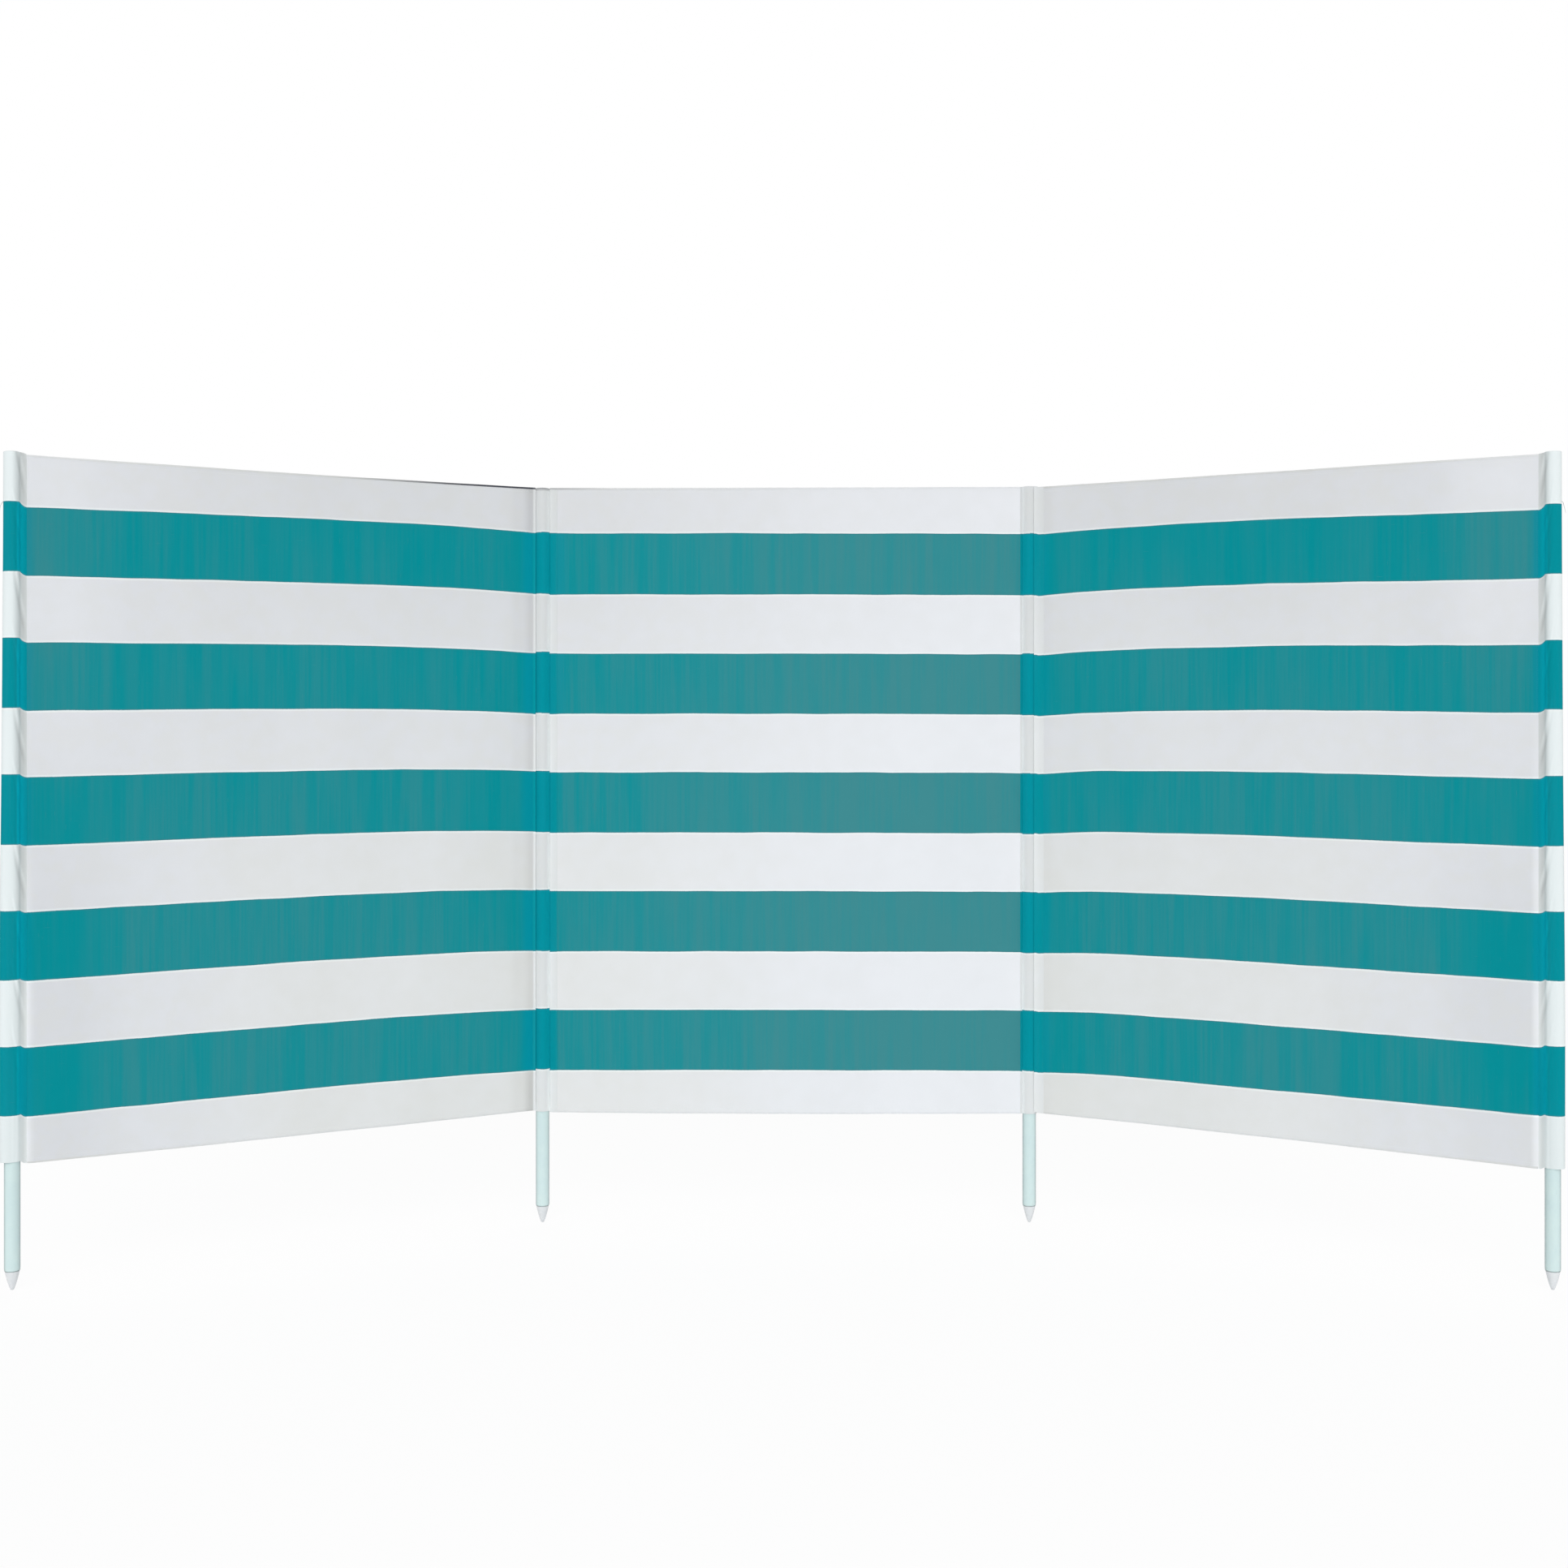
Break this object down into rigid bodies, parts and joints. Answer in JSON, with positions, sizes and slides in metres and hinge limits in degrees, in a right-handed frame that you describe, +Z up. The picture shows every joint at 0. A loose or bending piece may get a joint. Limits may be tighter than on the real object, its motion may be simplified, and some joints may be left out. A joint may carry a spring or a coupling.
{
  "type": "beach windbreak",
  "caption": "Folding windbreak of striped canvas bays sewn round tubular poles with ground spikes; the outer bays turn about the middle poles.",
  "frame": {"origin": "centre of the blunt tip of the left middle pole's ground spike", "axes": "+X along the middle bay to the right, +Z up the poles, the front of the canvas faces -Y"},
  "size_m": [2.5644, 0.4482, 1.377],
  "materials": {
    "striped_canvas": "plain weave canvas, teal stripes on white",
    "white_canvas": "plain weave canvas, white",
    "pole_enamel": "satin enamel, mint white",
    "spike_plastic": "moulded, slightly translucent white"
  },
  "bodies": {
    "middle_bay": {"middle_bay_canvas": "striped_canvas", "middle_top_hem": "white_canvas", "middle_bottom_hem": "white_canvas", "left_mid_pole": "pole_enamel", "right_mid_pole": "pole_enamel", "left_mid_spike": "spike_plastic", "right_mid_spike": "spike_plastic", "left_mid_pocket": "striped_canvas", "right_mid_pocket": "striped_canvas", "left_pocket_lap": "striped_canvas", "right_pocket_edge": "striped_canvas"},
    "left_bay": {"left_bay_canvas": "striped_canvas", "left_top_hem": "white_canvas", "left_bottom_hem": "white_canvas", "left_pocket_edge": "striped_canvas", "left_end_sleeve": "striped_canvas", "left_end_pole": "pole_enamel", "left_end_spike": "spike_plastic"},
    "right_bay": {"right_bay_canvas": "striped_canvas", "right_top_hem": "white_canvas", "right_bottom_hem": "white_canvas", "right_pocket_lap": "striped_canvas", "right_end_sleeve": "striped_canvas", "right_end_pole": "pole_enamel", "right_end_spike": "spike_plastic"}
  },
  "joints": [
    {"name": "left_fold", "type": "hinge", "parent": "middle_bay", "child": "left_bay", "pos_m": [0, 0, 0.792], "axis": [0, 0, 1], "range_deg": [-117.4, 132.6]},
    {"name": "right_fold", "type": "hinge", "parent": "middle_bay", "child": "right_bay", "pos_m": [0.914, 0, 0.792], "axis": [0, 0, 1], "range_deg": [-62.6, 187.4]}
  ]
}
